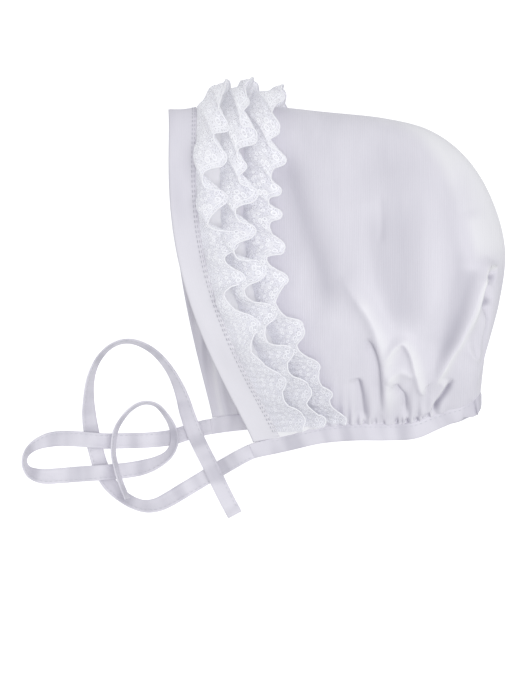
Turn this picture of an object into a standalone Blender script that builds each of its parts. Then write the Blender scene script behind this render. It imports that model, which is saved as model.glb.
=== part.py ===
"""Baby bonnet of white satin, lying on its side on a table with its ties loose beside it.

Units are metres. +X runs from the face opening to the back of the head, +Y from the neck to the
crown and +Z up from the table, so the near side of the bonnet is its upper wall and the far side is
the wall that it lies on. The origin is on the table, in the middle of the cloth that touches it.
"""

import bmesh
import bpy
import numpy as np

# Overall sizes of the lying bonnet
HOOD_DEPTH = 0.152
HOOD_HEIGHT = 0.150
LYING_HEIGHT = 0.074

# Cloth, band and the gap that every seam leaves
CLOTH = 0.0012
BAND_WIDTH = 0.0133
BAND_THICKNESS = 0.0020
SEAM_GAP = 0.0003

# Neck binding. At its near front end it lies flatter than the cloth, by this rise for its run.
BINDING_WIDTH = 0.0066
BINDING_THICKNESS = 0.0022
BINDING_GAP = 0.0006
BINDING_FRONT_RISE = 0.25
BINDING_FRONT_SHARE = 0.12
NEAR_EDGE_SHARE, NAPE_SHARE = 0.45, 0.10

# Ties
TIE_WIDTH = 0.0070
TIE_THICKNESS = 0.0010

# Lace, whose tiers reach over this share of each arch
LACE_THICKNESS = 0.0010
LACE_WIDTH = 0.0146
LACE_PITCH = 0.0120
LACE_REACH = 0.975

# Where the origin lies, as shares of the hood's depth and height
REST_X = 0.547
REST_Y = 0.515

# How far the free edge of each tier of lace stands off the cloth on the near side, on the crown's
# line and on the far side, as shares of the lace's width
TIER_COLUMNS = "name near crest far".split()
TIERS = (
    ("ruffle_front", 0.36, 0.54, 0.18),
    ("ruffle_middle", 0.28, 0.54, 0.15),
    ("ruffle_back", 0.22, 0.42, 0.13),
)
NEAR_WAVE, FAR_WAVE = 0.55, 0.30
RUFFLE_WAVES = 23
CREST_SPREAD = 0.16
SIDE_BLEND = 0.10

# The far side bridges the lace that lies under it, and comes down to the table behind it
TRIM_ROOM = 0.0052
TRIM_MARGIN = 0.0020
TRIM_RUN_OUT = 0.0140

# Arches of cloth, each from the near neck edge over the crown to the far neck edge, in order from
# the face edge to the nape. x is a share of the depth, y of the height, z of the lying height, and
# a bow is how far the middle of an arch swings towards the face, as a share of the depth.
ARCH_COLUMNS = (
    "top_x top_y near_x near_y far_x far_y near_bow far_bow ridge peak near_z far_z"
).split()
ARCHES = (
    (0.000, 0.993, 0.252, 0.000, 0.130, 0.070, 0.083, 0.033, 0.27, 0.60, 0.27, 0.00),
    (0.142, 1.001, 0.346, 0.015, 0.225, 0.083, 0.064, 0.030, 0.31, 0.71, 0.33, 0.00),
    (0.290, 1.003, 0.441, 0.039, 0.334, 0.089, 0.045, 0.025, 0.35, 0.81, 0.39, 0.00),
    (0.467, 0.985, 0.541, 0.050, 0.453, 0.086, 0.028, 0.018, 0.39, 0.90, 0.43, 0.00),
    (0.645, 0.965, 0.636, 0.051, 0.577, 0.080, 0.012, 0.010, 0.42, 0.97, 0.46, 0.00),
    (0.778, 0.928, 0.719, 0.054, 0.683, 0.078, 0.000, 0.000, 0.44, 1.00, 0.48, 0.00),
    (0.882, 0.847, 0.778, 0.075, 0.760, 0.084, 0.000, 0.000, 0.46, 0.99, 0.49, 0.00),
    (0.956, 0.725, 0.827, 0.093, 0.818, 0.095, 0.000, 0.000, 0.46, 0.93, 0.50, 0.01),
    (0.995, 0.575, 0.862, 0.103, 0.858, 0.104, 0.000, 0.000, 0.44, 0.82, 0.50, 0.03),
    (0.978, 0.419, 0.886, 0.114, 0.884, 0.114, 0.000, 0.000, 0.41, 0.70, 0.49, 0.06),
    (0.942, 0.296, 0.900, 0.120, 0.900, 0.120, 0.000, 0.000, 0.37, 0.60, 0.48, 0.09),
    (0.924, 0.146, 0.906, 0.124, 0.906, 0.124, 0.000, 0.000, 0.31, 0.49, 0.48, 0.12),
)
BOW_SHARPNESS = 1.3
NEAR_PEAK_AT = 0.45
FAR_FLAT_FROM = 0.76
BOUND_REACH = 0.10

# Folds of the near side, each a soft ridge (height above 0) or a valley between two points given
# as shares of the hood's depth and height. Height and width are shares of the lying height.
FOLD_COLUMNS = "from_x from_y to_x to_y height width".split()
FOLDS = (
    (0.748, 0.150, 0.828, 0.240, 0.055, 0.060),
    (0.828, 0.240, 0.880, 0.350, 0.060, 0.060),
    (0.880, 0.350, 0.932, 0.520, 0.050, 0.065),
    (0.636, 0.090, 0.618, 0.330, 0.050, 0.050),
    (0.618, 0.330, 0.560, 0.430, 0.040, 0.065),
    (0.690, 0.110, 0.680, 0.290, 0.035, 0.045),
    (0.603, 0.080, 0.608, 0.250, -0.045, 0.040),
    (0.700, 0.150, 0.770, 0.420, -0.045, 0.085),
    (0.835, 0.420, 0.838, 0.680, -0.050, 0.100),
    (0.500, 0.400, 0.480, 0.700, -0.055, 0.130),
    (0.930, 0.300, 0.945, 0.480, -0.040, 0.070),
)

# Small pleats that the binding draws up along the neck edge
PLEAT_COUNT = 15
PLEAT_FROM, PLEAT_TO = 0.22, 0.96
PLEAT_HEIGHT = 0.0017
PLEAT_REACH = 0.16

# Shares over which the folds die out towards the crown's line, the neck edge and the nape
CROWN_FADE, NECK_FADE, NAPE_FADE = 0.25, 0.06, 0.04

# Ties: where each passes, in metres from the origin, with how far it is lifted off the table and
# how far it leans over on its edge, in degrees. A lean above 0 raises the edge on the left.
NEAR_TIE = (
    (-0.0449, -0.0808, 0.0178, -16), (-0.0466, -0.0812, 0.0168, -14), (-0.0500, -0.0832, 0.0130, -6),
    (-0.0541, -0.0860, 0.0070, 0), (-0.0580, -0.0886, 0.0022, 0), (-0.0624, -0.0913, 0.0005, 0),
    (-0.0695, -0.0958, 0.0000, 0),
    (-0.0760, -0.0997, 0.0000, 4), (-0.0825, -0.1036, 0.0000, 14), (-0.0878, -0.1061, 0.0000, 28),
    (-0.0930, -0.1068, 0.0000, 38), (-0.0982, -0.1055, 0.0000, 42), (-0.1037, -0.1023, 0.0000, 40),
    (-0.1080, -0.0984, 0.0000, 28), (-0.1111, -0.0942, 0.0000, 12), (-0.1139, -0.0880, 0.0000, 6),
    (-0.1160, -0.0808, 0.0000, 4), (-0.1178, -0.0730, 0.0000, 8), (-0.1188, -0.0657, 0.0000, 28),
    (-0.1190, -0.0580, 0.0000, 48), (-0.1184, -0.0507, 0.0000, 60), (-0.1166, -0.0442, 0.0000, 68),
    (-0.1137, -0.0390, 0.0000, 72), (-0.1094, -0.0347, 0.0000, 75), (-0.1044, -0.0324, 0.0000, 75),
    (-0.0994, -0.0322, 0.0000, 73), (-0.0944, -0.0338, 0.0000, 70), (-0.0893, -0.0370, 0.0000, 67),
    (-0.0850, -0.0414, 0.0000, 63), (-0.0815, -0.0464, 0.0000, 58), (-0.0786, -0.0521, 0.0000, 48),
    (-0.0764, -0.0579, 0.0003, 34), (-0.0746, -0.0641, 0.0010, 18), (-0.0725, -0.0701, 0.0016, 6),
    (-0.0702, -0.0758, 0.0026, 0), (-0.0670, -0.0823, 0.0042, 2), (-0.0634, -0.0894, 0.0050, 4),
    (-0.0593, -0.0980, 0.0026, 4), (-0.0557, -0.1052, 0.0003, 2), (-0.0527, -0.1108, 0.0000, 0),
)
FAR_TIE = (
    (-0.0633, -0.0707, 0.0010, 0), (-0.0668, -0.0713, 0.0006, 0), (-0.0745, -0.0735, 0.0001, 0),
    (-0.0822, -0.0758, 0.0000, 0), (-0.0929, -0.0769, 0.0000, 0), (-0.1037, -0.0772, 0.0002, 0),
    (-0.1105, -0.0773, 0.0016, 0), (-0.1165, -0.0769, 0.0028, 0), (-0.1230, -0.0764, 0.0018, 0),
    (-0.1302, -0.0761, 0.0003, -6), (-0.1367, -0.0767, 0.0000, -22), (-0.1424, -0.0787, 0.0000, -46),
    (-0.1465, -0.0820, 0.0000, -66), (-0.1481, -0.0858, 0.0000, -74), (-0.1473, -0.0894, 0.0000, -66),
    (-0.1446, -0.0920, 0.0000, -44), (-0.1395, -0.0933, 0.0000, -20), (-0.1324, -0.0930, 0.0000, -6),
    (-0.1238, -0.0923, 0.0012, 0), (-0.1180, -0.0919, 0.0027, 0), (-0.1124, -0.0915, 0.0034, 0),
    (-0.1060, -0.0910, 0.0018, 0), (-0.1000, -0.0903, 0.0003, -4), (-0.0948, -0.0893, 0.0000, -16),
    (-0.0893, -0.0875, 0.0000, -36), (-0.0838, -0.0843, 0.0003, -54), (-0.0808, -0.0801, 0.0015, -60),
    (-0.0800, -0.0752, 0.0018, -60), (-0.0814, -0.0701, 0.0013, -62), (-0.0843, -0.0652, 0.0003, -68),
    (-0.0879, -0.0613, 0.0000, -72), (-0.0922, -0.0599, 0.0000, -75), (-0.0966, -0.0608, 0.0000, -75),
    (-0.1008, -0.0637, 0.0001, -72), (-0.1043, -0.0680, 0.0008, -68), (-0.1066, -0.0724, 0.0018, -64),
    (-0.1076, -0.0774, 0.0024, -62), (-0.1077, -0.0830, 0.0026, -62), (-0.1067, -0.0882, 0.0036, -62),
    (-0.1056, -0.0925, 0.0044, -62), (-0.1044, -0.0962, 0.0044, -62),
)

# How finely each piece is divided
CROWN_COLUMNS = 34
CROWN_ROWS = 38
BAND_COLUMNS = 2
BAND_ROWS = 40
BINDING_COLUMNS = 80
BINDING_ROWS = 2
COLUMNS_A_WAVE = 4
RUFFLE_ROWS = 2
TIE_POINTS = 46
MEASURING_STEPS = 80
EDGE_SAMPLES = 401
EDGE_SMOOTHING = 20
EDGE_INSET = 0.002
NORMAL_STEP = 0.001

SATIN_COLOUR = (0.86, 0.86, 0.90, 1.0)
LACE_COLOUR = (0.92, 0.92, 0.95, 1.0)


def smooth_step(value):
    """0 below 0, 1 above 1, and a smooth rise between."""
    share = np.clip(value, 0.0, 1.0)
    return share * share * (3 - 2 * share)


def through_rows(rows, at):
    """Each column of a table at places from 0 to 1, on smooth curves through its rows."""
    values = np.asarray(rows, float)
    last = len(values) - 1
    place = np.clip(np.asarray(at, float), 0.0, 1.0) * last
    start = np.minimum(place.astype(int), last - 1)
    part = (place - start)[..., None]
    before = values[np.maximum(start - 1, 0)]
    here, there = values[start], values[start + 1]
    after = values[np.minimum(start + 2, last)]
    out_slope, in_slope = (there - before) / 2, (after - here) / 2
    return (
        here * (2 * part**3 - 3 * part**2 + 1)
        + out_slope * (part**3 - 2 * part**2 + part)
        + there * (3 * part**2 - 2 * part**3)
        + in_slope * (part**3 - part**2)
    )


def arch_values(along):
    """The table of arches at places from the face edge, 0, to the nape, 1, by column name."""
    return dict(zip(ARCH_COLUMNS, np.moveaxis(through_rows(ARCHES, along), -1, 0)))


def height_share(over):
    """How far up its arch a place is, from 0 at a neck edge to 1 at the crown."""
    turn = np.abs(over)
    peak = np.where(over >= 0, NEAR_PEAK_AT, FAR_FLAT_FROM)
    upper = peak + (1 - peak) * np.cos(np.pi * np.minimum(turn, 0.5))
    lower = peak * (1 - np.maximum(turn - 0.5, 0) * 2)
    return np.where(turn < 0.5, upper, lower)


def bulge_of(over):
    """How far out an arch has swung from the crown's line, from 0 at the crown to 1."""
    return np.sin(np.pi * np.minimum(np.abs(over), 0.5))


def smooth_hood(along, over):
    """The hood without its small folds. along is 0 at the face and 1 at the nape; over is 1 at the
    near neck edge, 0 on the crown's line and -1 at the far neck edge."""
    row = arch_values(along)
    up = height_share(over)
    near = over >= 0
    foot_x = np.where(near, row["near_x"], row["far_x"])
    foot_y = np.where(near, row["near_y"], row["far_y"])
    bow = np.where(near, row["near_bow"], row["far_bow"])
    swing = bow * (4 * up * (1 - up)) ** BOW_SHARPNESS
    x = (foot_x + (row["top_x"] - foot_x) * up - swing - REST_X) * HOOD_DEPTH
    y = (foot_y + (row["top_y"] - foot_y) * up - REST_Y) * HOOD_HEIGHT
    fall = np.clip((NEAR_PEAK_AT - up) / NEAR_PEAK_AT, 0, 1)
    near_z = np.where(
        np.abs(over) < 0.5,
        row["ridge"] + (row["peak"] - row["ridge"]) * bulge_of(over),
        row["near_z"] + (row["peak"] - row["near_z"]) * (1 - fall**2),
    )
    face = arch_values(np.zeros_like(along))
    front_x = np.where(near, face["near_x"], face["far_x"])
    front_bow = np.where(near, face["near_bow"], face["far_bow"])
    front_swing = front_bow * (4 * up * (1 - up)) ** BOW_SHARPNESS
    front = (front_x + (face["top_x"] - front_x) * up - front_swing - REST_X) * HOOD_DEPTH
    behind = np.abs(x - front)
    down_at = BAND_WIDTH + 2 * LACE_PITCH + LACE_WIDTH + TRIM_MARGIN + TRIM_RUN_OUT
    room = smooth_step(behind / BAND_WIDTH) * smooth_step((down_at - behind) / TRIM_RUN_OUT)
    folded = BAND_THICKNESS / 2 - CLOTH / 2
    bound = BINDING_THICKNESS / 2 - CLOTH / 2
    floor = CLOTH / 2 + TRIM_ROOM * room
    floor = floor + folded * smooth_step(2 - behind / BAND_WIDTH) * (1 - room)
    floor = floor + bound * (1 - room) * smooth_step(1 - up / BOUND_REACH)
    floor = floor + row["far_z"] * LYING_HEIGHT
    far_z = row["ridge"] * LYING_HEIGHT
    far_z = far_z - (far_z - floor) * bulge_of(over)
    z = np.where(near, near_z * LYING_HEIGHT, far_z)
    return np.stack([x, y, z], axis=-1)


def normals_of(surface, along, over):
    """Unit normals of a surface function, pointing out of the hood."""
    step = NORMAL_STEP
    ahead = surface(np.minimum(along + step, 1), over) - surface(np.maximum(along - step, 0), over)
    aside = surface(along, np.minimum(over + step, 1)) - surface(along, np.maximum(over - step, -1))
    normal = np.cross(aside, ahead)
    return normal / np.linalg.norm(normal, axis=-1, keepdims=True)


def fold_height(points):
    """The height of the near side's folds at places seen from above."""
    total = np.zeros(len(points))
    for row in FOLDS:
        fold = dict(zip(FOLD_COLUMNS, row))
        start = np.array([
            (fold["from_x"] - REST_X) * HOOD_DEPTH, (fold["from_y"] - REST_Y) * HOOD_HEIGHT
        ])
        end = np.array([
            (fold["to_x"] - REST_X) * HOOD_DEPTH, (fold["to_y"] - REST_Y) * HOOD_HEIGHT
        ])
        run = end - start
        share = np.clip(((points[:, :2] - start) @ run) / (run @ run), 0, 1)
        away = np.linalg.norm(points[:, :2] - start - share[:, None] * run, axis=1)
        bell = np.exp(-((away / (fold["width"] * LYING_HEIGHT)) ** 2))
        total += fold["height"] * LYING_HEIGHT * bell
    return total


def pleat_height(along, over):
    """The height of the small pleats above the neck binding."""
    up = height_share(over)
    place = (along - PLEAT_FROM) / (PLEAT_TO - PLEAT_FROM)
    span = smooth_step(place / PLEAT_REACH) * smooth_step((1 - place) / PLEAT_REACH)
    fade = np.exp(-up / PLEAT_REACH) * smooth_step(up / NECK_FADE)
    flute = np.cos(2 * np.pi * PLEAT_COUNT * place)
    return PLEAT_HEIGHT * flute * span * fade


def hood(along, over):
    """The hood's middle surface with its folds."""
    base = smooth_hood(along, over)
    normal = normals_of(smooth_hood, along, over)
    near = smooth_step(over / CROWN_FADE)
    edge = smooth_step(height_share(over) / NECK_FADE) * smooth_step((1 - along) / NAPE_FADE)
    raised = fold_height(base) * near * edge + pleat_height(along, over) * near
    return base + normal * raised[:, None]


def distance_table():
    """Distances along the hood from the face edge, for a fan of paths and the places along them."""
    overs = np.linspace(-1, 1, MEASURING_STEPS + 1)
    places = np.linspace(0, 1, MEASURING_STEPS + 1)
    along, over = np.meshgrid(places, overs)
    points = smooth_hood(along.ravel(), over.ravel()).reshape(along.shape + (3,))
    steps = np.linalg.norm(np.diff(points, axis=1), axis=2)
    return overs, places, np.concatenate([np.zeros((len(overs), 1)), np.cumsum(steps, axis=1)], axis=1)


DISTANCES = distance_table()


def place_at(distance, over):
    """The place along the hood that lies a distance behind the face edge."""
    overs, places, lengths = DISTANCES
    row = np.clip((over + 1) / 2 * (len(overs) - 1), 0, len(overs) - 1 - 1e-9)
    first = row.astype(int)
    part = row - first
    found = np.empty(len(over))
    for index, (low, share) in enumerate(zip(first, part)):
        line = lengths[low] * (1 - share) + lengths[low + 1] * share
        found[index] = np.interp(distance[index], line, places)
    return found


def crown_surface(across, over_share):
    """The satin crown, from the band's seam to the nape."""
    over = over_share * 2 - 1
    start = place_at(np.full(len(over), BAND_WIDTH + SEAM_GAP), over)
    return hood(start + (1 - start) * across, over)


def band_surface(across, over_share):
    """The folded band round the face, from its front fold to its seam."""
    over = over_share * 2 - 1
    end = place_at(np.full(len(over), BAND_WIDTH), over)
    return smooth_hood(end * across, over)


def neck_edge(share):
    """Places along and over the hood that follow the neck edge, from the near front corner round
    the nape to the far front corner."""
    far_share = 1 - NEAR_EDGE_SHARE - NAPE_SHARE
    along = np.clip(np.minimum(share / NEAR_EDGE_SHARE, (1 - share) / far_share), 0, 1)
    over = 1 - 2 * np.clip((share - NEAR_EDGE_SHARE) / NAPE_SHARE, 0, 1)
    return along, over


def binding_surface(share, across):
    """The bias binding, a strip that carries the cloth on past the neck edge."""
    fine = np.linspace(0, 1, EDGE_SAMPLES)
    along, over = neck_edge(fine)
    edge = smooth_hood(along, over)
    facing = normals_of(smooth_hood, np.clip(along, EDGE_INSET, 1 - EDGE_INSET), over * (1 - EDGE_INSET))
    outward = np.cross(np.gradient(edge, axis=0), facing)
    outward /= np.linalg.norm(outward, axis=1, keepdims=True)
    outward[:, 2] += BINDING_FRONT_RISE * smooth_step(1 - fine / BINDING_FRONT_SHARE)
    weights = np.hanning(2 * EDGE_SMOOTHING + 1)
    for column in range(3):
        padded = np.pad(outward[:, column], EDGE_SMOOTHING, mode="edge")
        outward[:, column] = np.convolve(padded, weights / weights.sum(), mode="valid")
    outward /= np.linalg.norm(outward, axis=1, keepdims=True)
    at = np.stack([np.interp(share, fine, edge[:, k]) for k in range(3)], axis=1)
    way = np.stack([np.interp(share, fine, outward[:, k]) for k in range(3)], axis=1)
    return at + way * (BINDING_GAP + BINDING_WIDTH * across)[:, None]


def ruffle_surface(tier):
    """A function that places one tier of gathered lace, 0 for the one next to the band."""
    root = BAND_WIDTH + 2 * SEAM_GAP + tier * LACE_PITCH
    rest = (CLOTH + LACE_THICKNESS) / 2 + SEAM_GAP
    stand = dict(zip(TIER_COLUMNS, TIERS[tier]))

    def place(share, across):
        over = LACE_REACH * (1 - 2 * share)
        along = place_at(root + LACE_WIDTH * across, over)
        base = hood(along, over)
        normal = normals_of(smooth_hood, along, over)
        nearness = smooth_step(over / SIDE_BLEND + 0.5)
        side = stand["far"] + (stand["near"] - stand["far"]) * nearness
        rise = side + (stand["crest"] - side) * np.exp(-((over / CREST_SPREAD) ** 2))
        depth = FAR_WAVE + (NEAR_WAVE - FAR_WAVE) * nearness
        wave = 1 + depth * np.cos(2 * np.pi * RUFFLE_WAVES * share)
        lift = rest + LACE_WIDTH * rise * wave * np.sin(np.pi / 2 * across)
        return base + normal * lift[:, None]

    return place


def material(name, colour, roughness):
    """A plain cloth finish."""
    finish = bpy.data.materials.new(name)
    finish.use_nodes = True
    shader = finish.node_tree.nodes["Principled BSDF"]
    shader.inputs["Base Color"].default_value = colour
    shader.inputs["Roughness"].default_value = roughness
    shader.inputs["Metallic"].default_value = 0.0
    return finish


def cloth_piece(name, columns, rows, surface, thickness, finish):
    """A sheet of cloth: a grid laid on a surface function and given its thickness."""
    grid = bmesh.new()
    bmesh.ops.create_grid(grid, x_segments=columns, y_segments=rows, size=0.5)
    flat = np.array([corner.co[:2] for corner in grid.verts]) + 0.5
    for corner, point in zip(grid.verts, surface(flat[:, 0], flat[:, 1])):
        corner.co = point
    mesh = bpy.data.meshes.new(name)
    grid.to_mesh(mesh)
    grid.free()
    mesh.shade_smooth()
    piece = bpy.data.objects.new(name, mesh)
    mesh.materials.append(finish)
    wall = piece.modifiers.new("wall", "SOLIDIFY")
    wall.thickness = thickness
    wall.offset = 0.0
    return piece


def tie_route(rows):
    """The tie's middle line and its lean at evenly spread points."""
    values = through_rows(rows, np.linspace(0, 1, 40 * len(rows)))
    lean = np.radians(values[:, 3])
    stand = TIE_WIDTH / 2 * np.abs(np.sin(lean)) + TIE_THICKNESS / 2 * np.cos(lean)
    line = np.column_stack([values[:, :2], np.maximum(values[:, 2], 0) + stand])
    gone = np.concatenate([[0], np.cumsum(np.linalg.norm(np.diff(line, axis=0), axis=1))])
    at = np.linspace(0, gone[-1], TIE_POINTS)
    spread = np.stack([np.interp(at, gone, line[:, k]) for k in range(3)], axis=1)
    return spread, np.interp(at, gone, lean)


def tie_section(name):
    """The tie's cross-section, a flat strip with blunt edges, as a closed curve."""
    half, deep, blunt = TIE_WIDTH / 2, TIE_THICKNESS / 2, TIE_THICKNESS / 4
    corners = (
        (half - blunt, -deep), (blunt - half, -deep), (-half, -blunt), (-half, blunt),
        (blunt - half, deep), (half - blunt, deep), (half, blunt), (half, -blunt),
    )
    outline = bpy.data.curves.new(name, "CURVE")
    outline.dimensions = "2D"
    spline = outline.splines.new("POLY")
    spline.points.add(len(corners) - 1)
    for point, (x, y) in zip(spline.points, corners):
        point.co = (x, y, 0, 1)
    spline.use_cyclic_u = True
    section = bpy.data.objects.new(name, outline)
    section.hide_render = True
    section.display_type = "WIRE"
    return section


def tie_piece(name, rows, section, finish):
    """One tie: a strip carried along its route, leaning as the table says."""
    line, lean = tie_route(rows)
    path = bpy.data.curves.new(name, "CURVE")
    path.dimensions = "3D"
    path.twist_mode = "Z_UP"
    path.bevel_mode = "OBJECT"
    path.bevel_object = section
    path.use_fill_caps = True
    spline = path.splines.new("POLY")
    spline.points.add(len(line) - 1)
    for point, place, tilt in zip(spline.points, line, lean):
        point.co = (*place, 1)
        point.tilt = tilt
    path.materials.append(finish)
    return bpy.data.objects.new(name, path)


def build():
    """Makes every piece of the bonnet in a collection of its own."""
    for old in list(bpy.data.objects):
        bpy.data.objects.remove(old)
    bonnet = bpy.data.collections.new("baby_bonnet")
    guides = bpy.data.collections.new("guides")
    for collection in (bonnet, guides):
        bpy.context.scene.collection.children.link(collection)
    satin = material("satin", SATIN_COLOUR, 0.38)
    lace = material("lace", LACE_COLOUR, 0.75)
    pieces = [
        cloth_piece("crown", CROWN_COLUMNS, CROWN_ROWS, crown_surface, CLOTH, satin),
        cloth_piece("front_band", BAND_COLUMNS, BAND_ROWS, band_surface, BAND_THICKNESS, satin),
        cloth_piece(
            "neck_binding", BINDING_COLUMNS, BINDING_ROWS, binding_surface, BINDING_THICKNESS, satin
        ),
    ]
    for tier, (name, *_) in enumerate(TIERS):
        pieces.append(
            cloth_piece(
                name, COLUMNS_A_WAVE * RUFFLE_WAVES, RUFFLE_ROWS, ruffle_surface(tier), LACE_THICKNESS, lace
            )
        )
    section = tie_section("tie_section")
    guides.objects.link(section)
    pieces.append(tie_piece("tie_near", NEAR_TIE, section, satin))
    pieces.append(tie_piece("tie_far", FAR_TIE, section, satin))
    for piece in pieces:
        bonnet.objects.link(piece)


build()
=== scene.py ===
import bpy
import numpy as np
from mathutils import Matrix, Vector


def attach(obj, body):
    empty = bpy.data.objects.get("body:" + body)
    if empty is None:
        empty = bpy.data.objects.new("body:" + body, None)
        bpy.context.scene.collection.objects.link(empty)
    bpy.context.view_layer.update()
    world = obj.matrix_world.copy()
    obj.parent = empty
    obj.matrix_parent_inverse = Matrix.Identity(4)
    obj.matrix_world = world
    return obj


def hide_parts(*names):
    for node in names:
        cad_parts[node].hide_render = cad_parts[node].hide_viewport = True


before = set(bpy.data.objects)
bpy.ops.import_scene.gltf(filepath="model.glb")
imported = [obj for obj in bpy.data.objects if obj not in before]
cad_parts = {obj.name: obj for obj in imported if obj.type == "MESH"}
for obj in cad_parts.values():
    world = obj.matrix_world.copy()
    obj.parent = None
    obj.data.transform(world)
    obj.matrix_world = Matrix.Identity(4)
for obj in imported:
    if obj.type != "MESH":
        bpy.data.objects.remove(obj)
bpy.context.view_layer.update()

# Camera
# The photograph looks straight down on the lying bonnet from far off. A long lens high above the
# table sees it the same way, and its frame is as wide and as high as the photograph's.
FRAME_HEIGHT_PIXELS = 688
METRES_A_PIXEL = 0.00045
FRAME_MIDDLE = (-0.0423, -0.0333)
# The level at which a pixel is just that wide
SCALE_LEVEL = 0.026
LENS = 400.0
SENSOR = 36.0
FARTHEST_SEEN = 50.0
NETS_SEEN_THROUGH = 24


def placed(name, data):
    """A new object in the scene."""
    made = bpy.data.objects.new(name, data)
    bpy.context.scene.collection.objects.link(made)
    return made


camera_data = bpy.data.cameras.new("camera_above")
camera_data.lens = LENS
camera_data.sensor_width = SENSOR
camera_data.clip_end = FARTHEST_SEEN
camera = placed("camera_above", camera_data)
away = FRAME_HEIGHT_PIXELS * METRES_A_PIXEL * LENS / SENSOR
camera.location = (*FRAME_MIDDLE, SCALE_LEVEL + away)
bpy.context.scene.camera = camera
bpy.context.scene.view_settings.view_transform = "Standard"
bpy.context.scene.cycles.transparent_max_bounces = NETS_SEEN_THROUGH

# Ties
# Two flat ties carry the neck binding on past the front corners. Each is a bias strip of the satin,
# folded in and stitched along one edge, and lies loose on the table in its own loops.
TIE_WIDTH = 0.0070
TIE_THICKNESS = 0.0009
TIE_CAD_THICKNESS = 0.0010
TIE_RINGS = 420
ROUTE_STEPS = 40
TIE_HEM = 0.45
HEM_FROM, HEM_SLOPE = 0.66, 0.14
# A strip's section has so many points, and corners as sharp as these powers make them
STRIP_SIDES, SIDE_POWER, FACE_POWER = 32, 0.75, 0.45
BINDING_LENGTH = 0.2610

# Where each tie passes, with its lift off the table and its lean in degrees, from its seam
NEAR_TIE = (
    (-0.0449, -0.0817, 0.0178, -16), (-0.047, -0.0826, 0.0176, -15), (-0.0503, -0.0843, 0.0162, -10),
    (-0.0541, -0.0865, 0.0122, -4), (-0.058, -0.0888, 0.007, 0), (-0.0624, -0.0914, 0.0026, 0),
    (-0.0695, -0.0958, 0.0004, 0),
    (-0.076, -0.0997, 0, 4), (-0.0825, -0.1036, 0, 14), (-0.0878, -0.1061, 0, 28),
    (-0.093, -0.1068, 0, 38), (-0.0982, -0.1055, 0, 42), (-0.1037, -0.1023, 0, 40),
    (-0.108, -0.0984, 0, 28), (-0.1111, -0.0942, 0, 12), (-0.1139, -0.088, 0, 6),
    (-0.116, -0.0808, 0, 4), (-0.1178, -0.073, 0, 8), (-0.1188, -0.0657, 0, 28),
    (-0.119, -0.058, 0, 48), (-0.1184, -0.0507, 0, 60), (-0.1166, -0.0442, 0, 68),
    (-0.1137, -0.039, 0, 72), (-0.1094, -0.0347, 0, 75), (-0.1044, -0.0324, 0, 75),
    (-0.0994, -0.0322, 0, 73), (-0.0944, -0.0338, 0, 70), (-0.0893, -0.037, 0, 67),
    (-0.085, -0.0414, 0, 63), (-0.0815, -0.0464, 0, 58), (-0.0786, -0.0521, 0, 48),
    (-0.0764, -0.0579, 0.0003, 34), (-0.0746, -0.0641, 0.001, 18), (-0.0725, -0.0701, 0.0016, 6),
    (-0.0702, -0.0758, 0.0026, 0), (-0.067, -0.0823, 0.0042, 2), (-0.0634, -0.0894, 0.005, 4),
    (-0.0593, -0.098, 0.0026, 4), (-0.0557, -0.1052, 0.0003, 2), (-0.0527, -0.1108, 0, 0),
)
FAR_TIE = (
    (-0.0633, -0.0707, 0.001, 0), (-0.0668, -0.0713, 0.0006, 0), (-0.0745, -0.0735, 0.0001, 0),
    (-0.0822, -0.0758, 0, 0), (-0.0929, -0.0769, 0, 0), (-0.1037, -0.0772, 0.0002, 0),
    (-0.1105, -0.0773, 0.0016, 0), (-0.1165, -0.0769, 0.0028, 0), (-0.123, -0.0764, 0.0018, 0),
    (-0.1302, -0.0761, 0.0003, -6), (-0.1367, -0.0767, 0, -22), (-0.1424, -0.0787, 0, -46),
    (-0.1465, -0.082, 0, -66), (-0.1481, -0.0858, 0, -74), (-0.1473, -0.0894, 0, -66),
    (-0.1446, -0.092, 0, -44), (-0.1395, -0.0933, 0, -20), (-0.1324, -0.093, 0, -6),
    (-0.1238, -0.0923, 0.0012, 0), (-0.118, -0.0919, 0.0027, 0), (-0.1124, -0.0915, 0.0034, 0),
    (-0.106, -0.091, 0.0018, 0), (-0.1, -0.0903, 0.0003, -4), (-0.0948, -0.0893, 0, -16),
    (-0.0893, -0.0875, 0, -36), (-0.0838, -0.0843, 0.0003, -54), (-0.0808, -0.0801, 0.0015, -60),
    (-0.08, -0.0752, 0.0018, -60), (-0.0814, -0.0701, 0.0013, -66), (-0.0843, -0.0652, 0.0003, -72),
    (-0.0879, -0.0613, 0, -76), (-0.0922, -0.0599, 0, -78), (-0.0966, -0.0608, 0, -78),
    (-0.1008, -0.0637, 0.0001, -78), (-0.1043, -0.068, 0.0008, -76), (-0.1066, -0.0724, 0.0018, -74),
    (-0.1076, -0.0774, 0.0024, -74), (-0.1077, -0.083, 0.0026, -74), (-0.1067, -0.0882, 0.0036, -74),
    (-0.1056, -0.0925, 0.0044, -74), (-0.1042, -0.0964, 0.0046, -74), (-0.1028, -0.1, 0.005, -74),
    (-0.1014, -0.1034, 0.0052, -74),
)


def through_rows(rows, at):
    """Each column of a table at places from 0 to 1, on cubic curves whose slope at a row is half
    the step between its neighbours."""
    values = np.asarray(rows, float)
    last = len(values) - 1
    place = np.clip(np.asarray(at, float), 0.0, 1.0) * last
    start = np.minimum(place.astype(int), last - 1)
    part = (place - start)[..., None]
    before, here = values[np.maximum(start - 1, 0)], values[start]
    there, after = values[start + 1], values[np.minimum(start + 2, last)]
    out_slope, in_slope = (there - before) / 2, (after - here) / 2
    return (
        here * (2 * part**3 - 3 * part**2 + 1)
        + out_slope * (part**3 - 2 * part**2 + part)
        + there * (3 * part**2 - 2 * part**3)
        + in_slope * (part**3 - part**2)
    )


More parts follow.
